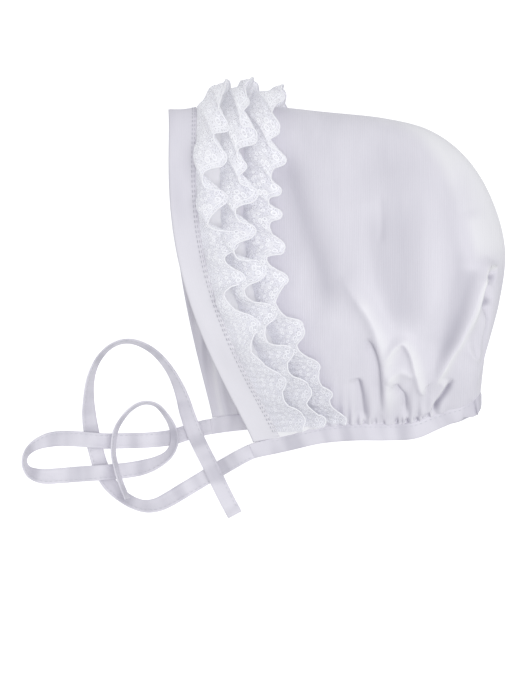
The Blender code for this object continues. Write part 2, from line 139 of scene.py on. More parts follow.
def unit(vectors):
    """Vectors at length 1."""
    return vectors / np.maximum(np.linalg.norm(vectors, axis=-1, keepdims=True), 1e-12)


def gone_along(points):
    """The distance gone at each point of a line, a running sum of its steps."""
    steps = np.linalg.norm(np.diff(points, axis=0), axis=1)
    return np.concatenate([[0.0], np.cumsum(steps)])


def read_at(at, gone, line):
    """The points of a line at distances along it, read between its own."""
    return np.stack([np.interp(at, gone, line[:, axis]) for axis in range(3)], axis=1)


def evenly(line, count, *others):
    """The line, and other values along it, at evenly spread places of its length."""
    gone = gone_along(line)
    at = np.linspace(0, gone[-1], count)
    return [read_at(at, gone, line), *(np.interp(at, gone, other) for other in others)]


def grid_quads(rows, columns, around=False):
    """The corner numbers of a grid's quads, and of those that close it round its columns."""
    number = np.arange(rows * columns).reshape(rows, columns)
    if around:
        number = np.concatenate([number, number[:, :1]], axis=1)
    corners = number[:-1, :-1], number[1:, :-1], number[1:, 1:], number[:-1, 1:]
    return np.stack(corners, axis=-1).reshape(-1, 4)


def made_piece(name, points, faces, flat, finish):
    """A mesh from its points, its faces and its flat places on the cloth, a UV map in metres."""
    mesh = bpy.data.meshes.new(name)
    mesh.from_pydata(points.reshape(-1, 3), [], [list(face) for face in faces])
    corners = np.empty(len(mesh.loops), int)
    mesh.loops.foreach_get("vertex_index", corners)
    layer = mesh.uv_layers.new(name="cloth")
    layer.uv.foreach_set("vector", flat.reshape(-1, 2)[corners].astype(np.float32).ravel())
    mesh.shade_smooth()
    mesh.materials.append(finish)
    return placed(name, mesh)


def swept(name, line, across, up, profile, finish, begins=0.0):
    """A closed profile, in metres across and up, carried along a line, with flat ends and its
    cloth measured from where it begins."""
    sideways, upward = profile[None, :, :1], profile[None, :, 1:]
    points = line[:, None] + across[:, None] * sideways + up[:, None] * upward
    rings, sides = points.shape[:2]
    skin = grid_quads(rings, sides, around=True)[:, ::-1]
    ends = [np.arange(sides)[::-1], np.arange(sides) + (rings - 1) * sides]
    gone = np.broadcast_to(begins + gone_along(line)[:, None], (rings, sides))
    flat = np.stack([gone, np.broadcast_to(profile[:, 0], (rings, sides))], axis=-1)
    piece = made_piece(name, points, [*skin, *ends], flat, finish)
    for end in piece.data.polygons[-2:]:
        end.use_smooth = False
    return piece


def strip_profile(width, thickness, hem=0.0):
    """A flat strip's section: an oval drawn out to its corners by roots of its cosine and sine,
    and thinner between its hems by the hem's share."""
    turn = np.linspace(0, 2 * np.pi, STRIP_SIDES, endpoint=False) + np.pi / STRIP_SIDES
    x = np.sign(np.cos(turn)) * np.abs(np.cos(turn)) ** SIDE_POWER
    y = np.sign(np.sin(turn)) * np.abs(np.sin(turn)) ** FACE_POWER
    inside = np.clip((HEM_FROM - np.abs(x)) / HEM_SLOPE, 0, 1)
    return np.stack([x * width / 2, y * thickness / 2 * (1 - hem * inside)], axis=1)


class Socket:
    """One output of a node. Arithmetic on it adds Math nodes, and node() adds any other."""

    def __init__(self, tree, output=None):
        self.tree = tree
        self.output = output

    def node(self, kind, settings, inputs, output=0):
        """Adds a node: its type, its settings, and values or links for its sockets."""
        made = self.tree.nodes.new("ShaderNode" + kind)
        for name, value in settings.items():
            setattr(made, name, value)
        for name, value in inputs.items():
            if isinstance(value, Socket):
                self.tree.links.new(value.output, made.inputs[name])
            else:
                made.inputs[name].default_value = value
        return Socket(self.tree, made.outputs[output])

    def math(self, operation, *values):
        return self.node("Math", {"operation": operation}, dict(enumerate(values)))

    def __add__(self, other):
        return self.math("ADD", self, other)

    def __sub__(self, other):
        return self.math("SUBTRACT", self, other)

    def __rsub__(self, other):
        return self.math("SUBTRACT", other, self)

    def __mul__(self, other):
        return self.math("MULTIPLY", self, other)

    def __truediv__(self, other):
        return self.math("DIVIDE", self, other)

    __radd__ = __add__
    __rmul__ = __mul__

    def cloth(self):
        """The flat place on the cloth in metres, from the piece's UV map."""
        return self.node("UVMap", {"uv_map": "cloth"}, {})

    def tone(self):
        """The painted light and shade on the cloth, from the attribute that the mesh carries."""
        return self.node("Attribute", {"attribute_name": "tone"}, {}, 2)

    def split(self):
        """The first two parts of a vector."""
        parts = self.node("SeparateXYZ", {}, {0: self})
        return parts, Socket(self.tree, parts.output.node.outputs[1])

    def scaled(self, x, y):
        """A vector with its first two parts multiplied."""
        return self.node("VectorMath", {"operation": "MULTIPLY"}, {0: self, 1: (x, y, 1.0)})

    def noise(self, scale, detail):
        """Soft noise about 0.5 at a place."""
        return self.node("TexNoise", {}, {"Vector": self, "Scale": scale, "Detail": detail})

    def waves(self, pitch):
        """Waves from 0 to 1, a pitch apart: half a sine and a half."""
        return self.math("SINE", self * (2 * np.pi / pitch)) * 0.5 + 0.5

    def bump(self, height):
        """The normal of a relief of this height in metres."""
        return self.node("Bump", {}, {"Strength": 1.0, "Distance": height, "Height": self})

    def mixed(self, first, second):
        """A colour: the first where this value is 0, the second where it is 1."""
        return self.node("Mix", {"data_type": "RGBA"}, {0: self, 6: first, 7: second}, 2)

    def ramp(self, low, high, to_low=0.0, to_high=1.0):
        """A smooth change from to_low to to_high as the value goes from low to high."""
        return self.node(
            "MapRange", {"interpolation_type": "SMOOTHSTEP"},
            {"Value": self, "From Min": low, "From Max": high, "To Min": to_low, "To Max": to_high},
        )


def new_finish(name):
    """An empty material, and a socket to start its nodes from."""
    finish = bpy.data.materials.new(name)
    finish.use_nodes = True
    finish.node_tree.nodes.clear()
    return finish, Socket(finish.node_tree)


def show(start, inputs):
    """Gives the material its shader, with values or links for the shader's sockets."""
    shader = start.node("BsdfPrincipled", {}, inputs)
    output = start.tree.nodes.new("ShaderNodeOutputMaterial")
    start.tree.links.new(shader.output, output.inputs["Surface"])


# Satin: a cool white, with fine ribs about a millimetre apart and a soft gloss
SATIN_LIGHT = (0.808, 0.789, 0.850, 1.0)
SATIN_DEEP = (0.748, 0.730, 0.794, 1.0)
# A dull grey for the duller patches and for shade painted into hollows, and white for a highlight
# painted on crests
SATIN_DULL_AND_SHADE = (0.31, 0.30, 0.37, 1.0)
SATIN_PAINTED_HIGHLIGHT = (1.0, 1.0, 1.0, 1.0)
RIB_PITCH, RIB_WANDER = 0.00100, 0.00064
WEAVE_PITCH = 0.00035


def satin_finish(name, rib_depth, rib_tone, dulled, with_painted_shading=False):
    """Satin ribbed along the cloth's width, crossed by a finer weave, with soft duller patches.
    The kind with painted shading has shade painted into its hollows and a highlight painted on its
    crests, by its mesh's attribute."""
    finish, start = new_finish(name)
    place = start.cloth()
    along, across = place.split()
    cloud = place.noise(45.0, 3.0)
    streak = place.scaled(1.0, 0.06).noise(1400.0, 2.0)
    ribs = (along + cloud * RIB_WANDER).waves(RIB_PITCH)
    weave = across.waves(WEAVE_PITCH) * 0.12
    relief = ribs * streak.ramp(0.3, 0.7, 0.3, 1.0) + weave + streak * 0.35
    shade = ribs * rib_tone + streak.ramp(0.25, 0.75) * rib_tone + cloud.ramp(0.3, 0.7) * 0.3
    patch = place.scaled(1.0, 0.3).noise(80.0, 1.5)
    colour = shade.mixed(SATIN_DEEP, SATIN_LIGHT)
    colour = patch.ramp(0.42, 0.66, 0.0, dulled).mixed(colour, SATIN_DULL_AND_SHADE)
    if with_painted_shading:
        # Painted shade in hollows and painted highlight on crests, from the mesh's attribute
        tone = start.tone()
        colour = tone.ramp(0.5, 0.0).mixed(colour, SATIN_DULL_AND_SHADE)
        colour = tone.ramp(0.5, 0.95, 0.0, 0.8).mixed(colour, SATIN_PAINTED_HIGHLIGHT)
    show(start, {
        "Base Color": colour, "Roughness": cloud.ramp(0.3, 0.7, 0.38, 0.48),
        "Normal": relief.bump(rib_depth), "Specular IOR Level": 0.40,
    })
    return finish


tie_satin = satin_finish("tie_satin", 0.00001, 0.1, 0.34)


def tie_frames(rows, count):
    """A tie's middle line with the ways across it and up from it. Its height is the lift and half
    of what a leaning strip stands high."""
    values = through_rows(rows, np.linspace(0, 1, ROUTE_STEPS * len(rows)))
    lean = np.radians(values[:, 3])
    stand = TIE_WIDTH / 2 * np.abs(np.sin(lean)) + TIE_CAD_THICKNESS / 2 * np.cos(lean)
    line = np.column_stack([values[:, :2], np.maximum(values[:, 2], 0) + stand])
    line, lean = evenly(line, count, lean)
    forward = unit(np.gradient(line, axis=0))
    left = unit(np.cross([0.0, 0.0, 1.0], forward))
    over = np.cross(forward, left)
    turn, rise = np.cos(lean)[:, None], np.sin(lean)[:, None]
    return line, left * turn + over * rise, over * turn - left * rise


def tie(name, node, rows, begins):
    """One tie, a strip hemmed on both sides."""
    line, across, up = tie_frames(rows, TIE_RINGS)
    profile = strip_profile(TIE_WIDTH, TIE_THICKNESS, TIE_HEM)
    piece = swept(name, line, across, up, profile, tie_satin, begins)
    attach(piece, "root")
    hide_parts(node)
    return line, across, up


near_tie_frames = tie("near_tie", "tie_near", NEAR_TIE, 0.0)
far_tie_frames = tie("far_tie", "tie_far", FAR_TIE, BINDING_LENGTH)

# Crown
# The hood itself is one piece of satin, gathered into the neck binding. It stands up from the far
# side, which lies flat on the table, and its near side hangs in soft folds towards the neck.
HOOD_DEPTH = 0.152
HOOD_HEIGHT = 0.150
LYING_HEIGHT = 0.074
CLOTH = 0.0012
BAND_WIDTH = 0.0133
BAND_THICKNESS = 0.0020
BINDING_THICKNESS = 0.0022
SEAM_GAP = 0.0003
SEAM_TUCK = 0.0005
TRIM_REACH = 0.0519
REST_X = 0.547
REST_Y = 0.515
TRIM_ROOM = 0.0052
TRIM_MARGIN = 0.0020
TRIM_RUN_OUT = 0.0140

# Arches of cloth from the near neck edge over the crown to the far neck edge, in order from the
# face to the nape. x is a share of the depth, y of the height and z of the lying height, and a bow
# is how far the middle of an arch swings towards the face, as a share of the depth.
ARCH_COLUMNS = (
    "top_x top_y near_x near_y far_x far_y near_bow far_bow ridge peak near_z far_z"
).split()
ARCHES = (
    (0.000, 0.993, 0.252, 0.000, 0.130, 0.070, 0.083, 0.033, 0.27, 0.60, 0.27, 0.00),
    (0.142, 1.001, 0.346, 0.015, 0.225, 0.083, 0.064, 0.030, 0.31, 0.71, 0.33, 0.00),
    (0.290, 1.003, 0.441, 0.039, 0.334, 0.089, 0.045, 0.025, 0.35, 0.81, 0.39, 0.00),
    (0.467, 0.985, 0.541, 0.050, 0.453, 0.086, 0.028, 0.018, 0.39, 0.90, 0.43, 0.00),
    (0.645, 0.965, 0.636, 0.051, 0.577, 0.080, 0.012, 0.010, 0.42, 0.97, 0.46, 0.00),
    (0.778, 0.928, 0.719, 0.054, 0.683, 0.078, 0.000, 0.000, 0.44, 1.00, 0.48, 0.00),
    (0.882, 0.847, 0.778, 0.075, 0.760, 0.084, 0.000, 0.000, 0.46, 0.99, 0.49, 0.00),
    (0.956, 0.725, 0.827, 0.093, 0.818, 0.095, 0.000, 0.000, 0.46, 0.93, 0.50, 0.01),
    (0.995, 0.575, 0.862, 0.103, 0.858, 0.104, 0.000, 0.000, 0.44, 0.82, 0.50, 0.03),
    (0.978, 0.419, 0.886, 0.114, 0.884, 0.114, 0.000, 0.000, 0.41, 0.70, 0.49, 0.06),
    (0.942, 0.296, 0.900, 0.120, 0.900, 0.120, 0.000, 0.000, 0.37, 0.60, 0.48, 0.09),
    (0.924, 0.146, 0.906, 0.124, 0.906, 0.124, 0.000, 0.000, 0.31, 0.49, 0.48, 0.12),
)
BOW_SHARPNESS = 1.3
NEAR_PEAK_AT = 0.45
FAR_FLAT_FROM = 0.76
BOUND_REACH = 0.10

# Folds of the near side: height, or depth below 0, the widths of its left and right flanks, and
# the points that it passes, all in metres
FOLDS = (
    (0.0024, 0.0034, 0.0024, (
        (-0.006, -0.003), (0.0025, -0.0145), (0.0085, -0.024), (0.012, -0.034), (0.0137, -0.047),
        (0.0143, -0.057), (0.0147, -0.067),
    )),
    (-0.0024, 0.0011, 0.0024, (
        (0.005, -0.03), (0.0093, -0.0365), (0.0112, -0.0415), (0.0122, -0.0495), (0.0131, -0.064),
    )),
    (0.0031, 0.002, 0.0016, (
        (0.06, 0.006), (0.0572, -0.001), (0.054, -0.0095), (0.0508, -0.0215), (0.047, -0.0315),
        (0.043, -0.038), (0.038, -0.0465), (0.033, -0.0545),
    )),
    (0.002, 0.0018, 0.0013, (
        (0.015, -0.043), (0.017, -0.0365), (0.0218, -0.0325), (0.0255, -0.0365), (0.028, -0.0445),
        (0.0302, -0.053), (0.033, -0.0545),
    )),
    (0.0012, 0.0014, 0.0018, (
        (0.0152, -0.05), (0.0175, -0.0465), (0.021, -0.0447), (0.0245, -0.0457), (0.0268, -0.048),
    )),
    (-0.0018, 0.001, 0.0016, (
        (0.0185, -0.05), (0.0205, -0.0535), (0.023, -0.057), (0.0236, -0.0665),
    )),
    (-0.002, 0.0008, 0.0012, (
        (0.045, -0.048), (0.0405, -0.056), (0.0372, -0.061), (0.034, -0.068),
    )),
    (0.0014, 0.0014, 0.0016, (
        (0.042, -0.048), (0.037, -0.056), (0.031, -0.066),
    )),
    (-0.0018, 0.0011, 0.0018, (
        (0.0015, -0.048), (0.0037, -0.056), (0.0048, -0.068),
    )),
    (-0.002, 0.007, 0.0095, (
        (-0.035, 0.062), (-0.029, 0.038), (-0.022, 0.015), (-0.016, -0.004), (-0.013, -0.025),
    )),
    (-0.0015, 0.012, 0.012, (
        (0.008, 0.07), (0.014, 0.04), (0.019, 0.01), (0.0205, -0.016), (0.018, -0.042),
    )),
    (-0.0009, 0.007, 0.006, (
        (0.004, 0.03), (0.008, 0.008), (0.0115, -0.012), (0.015, -0.03),
    )),
    (-0.0017, 0.007, 0.0055, (
        (0.045, 0.064), (0.0475, 0.04), (0.0482, 0.015), (0.0455, -0.011), (0.04, -0.034),
        (0.0345, -0.048),
    )),
    (0.0006, 0.003, 0.0022, (
        (0.0525, 0.027), (0.0545, 0.012), (0.053, -0.001),
    )),
    (-0.0002, 0.0012, 0.0012, (
        (0.0118, 0.034), (0.0124, 0.022), (0.0116, 0.011),
    )),
    (0.0012, 0.0013, 0.0013, (
        (0.0505, -0.028), (0.0515, -0.036), (0.0548, -0.0395), (0.0572, -0.034), (0.0582, -0.023),
        (0.0568, -0.015),
    )),
    (0.0016, 0.0012, 0.0012, (
        (0.05, -0.0315), (0.0539, -0.0165), (0.0561, -0.006), (0.0582, -0.0005), (0.0615, 0.0014),
        (0.0655, 0.0008),
    )),
    (-0.0024, 0.0014, 0.002, (
        (0.058, -0.006), (0.0592, -0.0034), (0.0615, -0.0022), (0.064, -0.0024),
    )),
    (-0.0022, 0.0008, 0.0013, (
        (0.0608, -0.0015), (0.06, -0.008), (0.0608, -0.0127), (0.0596, -0.0165), (0.0608, -0.0217),
        (0.0592, -0.03), (0.0582, -0.0375), (0.0572, -0.045),
    )),
)
FOLD_SCALE = 1.4
ROUNDING_SHARE = 0.7
FOLD_STEPS, FOLD_FADE = 12, 0.22
CROWN_FADE, NECK_FADE, NAPE_FADE = 0.25, 0.035, 0.04
STEEP, LESS_STEEP = 0.12, 0.50
# Pleats above the binding, and how far they drift to and fro, in radians and radians a metre
PLEAT_PITCH, PLEAT_DRIFT = 0.0052, (2.2, 210)
PLEAT_DEPTH, PLEAT_REACH = 0.0008, 0.008
PLEATS_FROM, PLEATS_TO, PLEATS_FADE = -0.030, 0.050, 0.016
# Sharp little tucks where the binding gathers the cloth, by their place along the neck edge
TUCKS = (
    0.0050, 0.0088, 0.0102, 0.0140, 0.0198, 0.0222, 0.0236, 0.0244, 0.0275, 0.0290, 0.0312, 0.0342,
)
TUCK_DEPTH, TUCK_WIDTH, TUCK_START = 0.0017, 0.0006, 0.0012
TUCK_LENGTHS = (0.0039, 0.0052, 0.0065)
CROWN_COLUMNS = 301
CROWN_NEAR_FINE, CROWN_NEAR, CROWN_FAR = 120, 70, 41
CROWN_FINE_FROM = 0.56
LINING_STEP = 5
LINING_DEPTH = 0.0011
# How much a millimetre of height and a slope towards the back change the shade and highlight painted
# on the cloth
SHADING_PAINTED_A_MILLIMETRE, SHADING_PAINTED_A_SLOPE = 0.055, 0.27
# Under the lace the cloth is painted lighter by this much, lifting the shade in the gaps between the
# tiers, as far behind the face edge as the range says
PAINTED_LIGHT_UNDER_LACE, LIGHT_FADES = 0.35, (0.030, 0.037)
# Where the cloth turns away towards the back and the crown a highlight is painted on by this much,
# and by less of it from the pocket at the back down
PAINTED_TURNED_LIGHT, TURNED_FROM, TURNED_OVER = 0.30, 0.38, 0.40
POCKET_LEVEL, POCKET_FADE, POCKET_SHARE = -0.006, 0.020, 0.25
NORMAL_STEP = 0.001
# The cloth that the crown is cut from, and how much of it lies on each side of the crown's line
CLOTH_A_SIDE = 0.16


def smooth_step(value):
    """0 below 0, 1 above 1, and three squares less two cubes between."""
    share = np.clip(value, 0.0, 1.0)
    return share * share * (3 - 2 * share)


def between(value, low, high, fade, last_fade=None):
    """1 between low and high and 0 outside, with a smooth step over a fade inside each."""
    return smooth_step((value - low) / fade) * smooth_step((high - value) / (last_fade or fade))


def toward(first, second, share):
    """What goes from the first to the second as the share goes from 0 to 1."""
    return first + (second - first) * share


def bell(value):
    """1 at 0, dying out on both sides: the exponential of the value's square below 0."""
    return np.exp(-(value**2))


def drifting(place, pitch, drift, rate):
    """The turn of waves a pitch apart that drift to and fro by a sine."""
    return 2 * np.pi * place / pitch + drift * np.sin(place * rate)


def arch_values(along):
    """The table of arches at places from the face edge, 0, to the nape, 1, by column name."""
    return dict(zip(ARCH_COLUMNS, np.moveaxis(through_rows(ARCHES, along), -1, 0)))


def height_share(over):
    """How far up its arch a place is: a cosine near the crown, then straight down to 0."""
    turn = np.abs(over)
    peak = np.where(over >= 0, NEAR_PEAK_AT, FAR_FLAT_FROM)
    upper = peak + (1 - peak) * np.cos(np.pi * np.minimum(turn, 0.5))
    lower = peak * (1 - np.maximum(turn - 0.5, 0) * 2)
    return np.where(turn < 0.5, upper, lower)


def bulge_of(over):
    """How far out an arch has swung from the crown's line: a sine from 0 at the crown to 1."""
    return np.sin(np.pi * np.minimum(np.abs(over), 0.5))


def arch_x(row, up, near):
    """How far back places on an arch lie: between its foot and its top, swung to the face."""
    foot = np.where(near, row["near_x"], row["far_x"])
    bow = np.where(near, row["near_bow"], row["far_bow"])
    swing = bow * np.maximum(4 * up * (1 - up), 0) ** BOW_SHARPNESS
    return (toward(foot, row["top_x"], up) - swing - REST_X) * HOOD_DEPTH


def smooth_hood(along, over):
    """The hood without folds. along is 0 at the face and 1 at the nape, and over is 1 at the near
    neck edge, 0 on the crown's line and -1 at the far neck edge. Each place lies between its
    arch's foot and top, swung towards the face by the bow, at the height of the arch's side."""
    row = arch_values(along)
    up = height_share(over)
    near = over >= 0
    x = arch_x(row, up, near)
    y = toward(np.where(near, row["near_y"], row["far_y"]), row["top_y"], up) - REST_Y
    fall = np.clip((NEAR_PEAK_AT - up) / NEAR_PEAK_AT, 0, 1)
    near_z = np.where(
        np.abs(over) < 0.5,
        toward(row["ridge"], row["peak"], bulge_of(over)),
        toward(row["near_z"], row["peak"], 1 - fall**2),
    )
    behind = np.abs(x - arch_x(arch_values(np.zeros_like(along)), up, near))
    room = between(behind, 0, TRIM_REACH + TRIM_MARGIN + TRIM_RUN_OUT, BAND_WIDTH, TRIM_RUN_OUT)
    folded = (BAND_THICKNESS - CLOTH) / 2 * smooth_step(2 - behind / BAND_WIDTH)
    bound = (BINDING_THICKNESS - CLOTH) / 2 * smooth_step(1 - up / BOUND_REACH)
    floor = CLOTH / 2 + toward(folded + bound, TRIM_ROOM, room) + row["far_z"] * LYING_HEIGHT
    far_z = toward(row["ridge"] * LYING_HEIGHT, floor, bulge_of(over))
    return np.stack([x, y * HOOD_HEIGHT, np.where(near, near_z * LYING_HEIGHT, far_z)], axis=-1)


def normals_of(surface, along, over):
    """Unit normals out of the hood: the cross product of the surface's two slopes."""
    step = NORMAL_STEP
    ahead = surface(np.minimum(along + step, 1), over) - surface(np.maximum(along - step, 0), over)
    aside = surface(along, np.minimum(over + step, 1)) - surface(along, np.maximum(over - step, -1))
    return unit(np.cross(aside, ahead))


def fold_relief(x, y):
    """The near side's folds from above. Each dies out with the distance to its path, by the width
    of each flank, from a slightly rounded crest, and fades at both ends of the path."""
    total = np.zeros_like(x)
    for height, left, right, passes in FOLDS:
        path = through_rows(passes, np.linspace(0, 1, FOLD_STEPS * len(passes)))
        best = np.full(x.shape, np.inf)
        value = np.zeros_like(x)
        for step, (start, end) in enumerate(zip(path[:-1], path[1:])):
            run = end - start
            share = np.clip(((x - start[0]) * run[0] + (y - start[1]) * run[1]) / (run @ run), 0, 1)
            gap_x, gap_y = x - start[0] - share * run[0], y - start[1] - share * run[1]
            away = np.hypot(gap_x, gap_y)
            width = np.where(run[0] * gap_y - run[1] * gap_x > 0, left, right)
            rounding = ROUNDING_SHARE * width
            flank = np.exp((rounding - np.hypot(away, rounding)) / width)
            flank *= between((step + share) / (len(path) - 1), 0, 1, FOLD_FADE)
            value = np.where(away < best, flank, value)
            best = np.minimum(away, best)
        total += height * value
    return FOLD_SCALE * total


def gathers(x, edge_away):
    """Shallow pleats and sharp tucks above the neck binding, dying out away from it."""
    pleats = PLEAT_DEPTH * np.cos(drifting(x, PLEAT_PITCH, *PLEAT_DRIFT))
    pleats *= between(x, PLEATS_FROM, PLEATS_TO, PLEATS_FADE) * np.exp(-edge_away / PLEAT_REACH)
    tucks = np.zeros_like(x)
    for number, tuck in enumerate(TUCKS):
        reach = TUCK_LENGTHS[number % 3]
        tucks -= bell((x - tuck) / TUCK_WIDTH) * smooth_step(1 - edge_away / reach)
    return pleats + TUCK_DEPTH * tucks


def raised_folds(base, normal, along, over):
    """How far the folds, gathers and tucks stand off the smooth hood."""
    edge_away = height_share(over) * HOOD_HEIGHT
    edge = smooth_step(height_share(over) / NECK_FADE) * smooth_step((1 - along) / NAPE_FADE)
    raised = fold_relief(base[..., 0], base[..., 1]) * edge
    raised *= smooth_step((normal[..., 2] - STEEP) / (LESS_STEEP - STEEP))
    raised += gathers(base[..., 0], edge_away) * smooth_step(edge_away / TUCK_START)
    return raised * smooth_step(over / CROWN_FADE)


def hood(along, over):
    """The hood with its folds, gathers and tucks raised along its normals."""
    base = smooth_hood(along, over)
    normal = normals_of(smooth_hood, along, over)
    return base + normal * raised_folds(base, normal, along, over)[..., None]


def distance_table(overs, places, distances):
    """The place along the hood at each distance behind the face edge, a row for each over."""
    along, over = np.meshgrid(places, overs)
    steps = np.linalg.norm(np.diff(smooth_hood(along, over), axis=1), axis=2)
    gone = np.concatenate([np.zeros((len(overs), 1)), np.cumsum(steps, axis=1)], axis=1)
    return np.stack([np.interp(distances, line, places) for line in gone])


MEASURED_OVERS = np.linspace(-1, 1, 81)
MEASURED_TO = 0.080
DISTANCE_STEPS = 161
PLACES_BEHIND = distance_table(
    MEASURED_OVERS, np.linspace(0, 1, 241), np.linspace(0, MEASURED_TO, DISTANCE_STEPS)
)


def place_behind(distance, over):
    """The place along the hood at a distance behind the face edge, read between the four nearest
    entries of the table."""
    row = np.clip((over + 1) / 2 * (len(MEASURED_OVERS) - 1), 0, len(MEASURED_OVERS) - 1.001)
    column = np.clip(distance / MEASURED_TO * (DISTANCE_STEPS - 1), 0, DISTANCE_STEPS - 1.001)
    i, j = row.astype(int), column.astype(int)
    a, b = row - i, column - j
    table = PLACES_BEHIND
    low = toward(table[i, j], table[i, j + 1], b)
    high = toward(table[i + 1, j], table[i + 1, j + 1], b)
    return toward(low, high, a)


overs = np.concatenate([
    np.linspace(1, CROWN_FINE_FROM, CROWN_NEAR_FINE, endpoint=False),
    np.linspace(CROWN_FINE_FROM, 0, CROWN_NEAR, endpoint=False),
    np.linspace(0, -1, CROWN_FAR),
])
over, share = np.meshgrid(overs, np.linspace(0, 1, CROWN_COLUMNS), indexing="ij")
start = place_behind(np.full_like(over, BAND_WIDTH - SEAM_TUCK), over)
along = start + (1 - start) * share
crown_base = smooth_hood(along, over)
crown_normal = normals_of(smooth_hood, along, over)
raised = raised_folds(crown_base, crown_normal, along, over)
middle = crown_base + crown_normal * raised[..., None]
outer = middle + crown_normal * (CLOTH / 2)
coarse = middle[::LINING_STEP, ::LINING_STEP]
lining = coarse - crown_normal[::LINING_STEP, ::LINING_STEP] * LINING_DEPTH
rows, columns = over.shape
first = rows * columns
number = np.arange(first).reshape(rows, columns)
lining_number = first + np.arange(lining[..., 0].size).reshape(lining.shape[:2])


def rim(outside, inside):
    """Faces from a fine edge of the outside to a coarse edge of the lining."""
    steps = range(len(inside) - 1)
    parts = [outside[LINING_STEP * k:LINING_STEP * (k + 1) + 1] for k in steps]
    return [[*part[::-1], inside[k], inside[k + 1]] for k, part in enumerate(parts)]


def set_painted_shading(piece, tone):
    """Gives a mesh its painted light and shade at each point: 0.5 is unpainted, 0 full painted
    shade, as in a hollow, and 1 full painted highlight, as on a crest.
    """
    layer = piece.data.attributes.new("tone", "FLOAT", "POINT")
    layer.data.foreach_set("value", np.clip(tone, 0, 1).astype(np.float32).ravel())


rims = [
    *rim(number[0], lining_number[0]), *rim(number[:, -1], lining_number[:, -1]),
    *rim(number[-1][::-1], lining_number[-1][::-1]), *rim(number[::-1, 0], lining_number[::-1, 0]),
]
faces = [*grid_quads(rows, columns)[:, ::-1], *(grid_quads(*lining.shape[:2]) + first), *rims]
points = np.concatenate([outer.reshape(-1, 3), lining.reshape(-1, 3)])
flat = np.stack([middle[..., 0], over * CLOTH_A_SIDE], axis=-1)
flat = np.concatenate([flat.reshape(-1, 2), flat[::LINING_STEP, ::LINING_STEP].reshape(-1, 2)])
run = np.linalg.norm(np.gradient(middle, axis=1), axis=2)
slope = np.gradient(raised, axis=1) / np.maximum(run, 1e-6)
# Painted shade and highlight: lighter on the folds' crests, darker in their hollows and on flanks
# that rise towards the back
tone = 0.5 + raised * 1000 * SHADING_PAINTED_A_MILLIMETRE - slope * SHADING_PAINTED_A_SLOPE
# Painted light on the cloth under the lace, to lift the shade in its gaps
lit_to, unlit_from = (place_behind(np.full_like(over, behind), over) for behind in LIGHT_FADES)
tone += PAINTED_LIGHT_UNDER_LACE * smooth_step((unlit_from - along) / (unlit_from - lit_to))
# A painted highlight where the cloth turns towards the back and the crown
turned = crown_normal[..., 0] + crown_normal[..., 1] / 2
lit = toward(POCKET_SHARE, 1, smooth_step((crown_base[..., 1] - POCKET_LEVEL) / POCKET_FADE))
tone += PAINTED_TURNED_LIGHT * lit * smooth_step((turned - TURNED_FROM) / TURNED_OVER)
crown_satin = satin_finish("crown_satin", 0.00004, 0.35, 0.06, with_painted_shading=True)
crown = made_piece("satin_crown", points, faces, flat, crown_satin)
set_painted_shading(crown, np.concatenate([tone.ravel(), np.full(lining[..., 0].size, 0.5)]))
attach(crown, "root")
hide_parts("crown")

# Face band
# A straight strip of the satin, folded double, carries the face edge. Its fold is the edge itself,
# and two close rows of stitches hold its other edge over the crown.
BAND_ROWS, BAND_SIDES = 420, 30
PUCKER_DEPTH, PUCKER_REACH = 0.00022, 0.20
PUCKER_PITCH, PUCKER_DRIFT = 0.0024, (1.5, 300)
PUCKER_CHANGE, CHANGE_RATE = 0.4, 170
BAND_SINK = 0.0005
# The band's inner face lies in soft waves on the far side: their number across it, and how far and
# how fast they drift along it
WAVE_DEPTH, WAVES_ACROSS, WAVE_DRIFT, WAVE_RATE = 0.0006, 1.5, 4, 45
# How much of the band's width rounds into its fold, and how thick the fold's very edge is, squared
FOLDED_SHARE, FOLDED_EDGE = 0.06, 0.02
# Shade and highlight painted on the band by the height of its puckers and waves, and a painted sheen
# on the near part of its outer face
BAND_SHADING_PAINTED_A_MILLIMETRE = 0.35
BAND_PAINTED_SHEEN, SHEEN_FROM, SHEEN_OVER = 0.16, 0.20, 0.35

overs = np.linspace(1, -1, BAND_ROWS)
turn = np.linspace(0, 1, BAND_SIDES)
# The section goes out along the outer face to the fold, round it, and back along the inner face
over, depth = np.meshgrid(overs, np.abs(1 - 2 * turn), indexing="ij")
outer = np.broadcast_to(np.where(turn < 0.5, 1.0, -1.0), over.shape)
place = place_behind(BAND_WIDTH * depth, over)
band_normal = normals_of(smooth_hood, np.maximum(place, 2 * NORMAL_STEP), over)
gone = gone_along(smooth_hood(np.zeros(BAND_ROWS), overs))[:, None]
puckers = np.sin(drifting(gone, PUCKER_PITCH, *PUCKER_DRIFT))
puckers = puckers * (1 - PUCKER_CHANGE + PUCKER_CHANGE * np.sin(gone * CHANGE_RATE))
puckers = PUCKER_DEPTH * puckers * bell((1 - depth) / PUCKER_REACH)
waves = np.sin(2 * np.pi * depth * WAVES_ACROSS + WAVE_DRIFT * np.sin(gone * WAVE_RATE))
waves = WAVE_DEPTH * smooth_step(-over * 4) * waves * np.sin(np.pi * depth)
half = BAND_THICKNESS / 2 * np.minimum(1, np.sqrt(depth / FOLDED_SHARE + FOLDED_EDGE))
swell = puckers - BAND_SINK * np.sin(np.pi * depth)
raised = outer * half + np.where(outer > 0, swell, waves)
number = np.arange(BAND_ROWS * BAND_SIDES).reshape(BAND_ROWS, BAND_SIDES)
band = made_piece(
    "face_band", smooth_hood(place, over) + band_normal * raised[..., None],
    [*grid_quads(BAND_ROWS, BAND_SIDES, around=True), number[0], number[-1][::-1]],
    np.stack([BAND_WIDTH * depth, np.broadcast_to(gone, depth.shape)], axis=-1),
    satin_finish("band_satin", 0.00002, 0.15, 0.10, with_painted_shading=True),
)
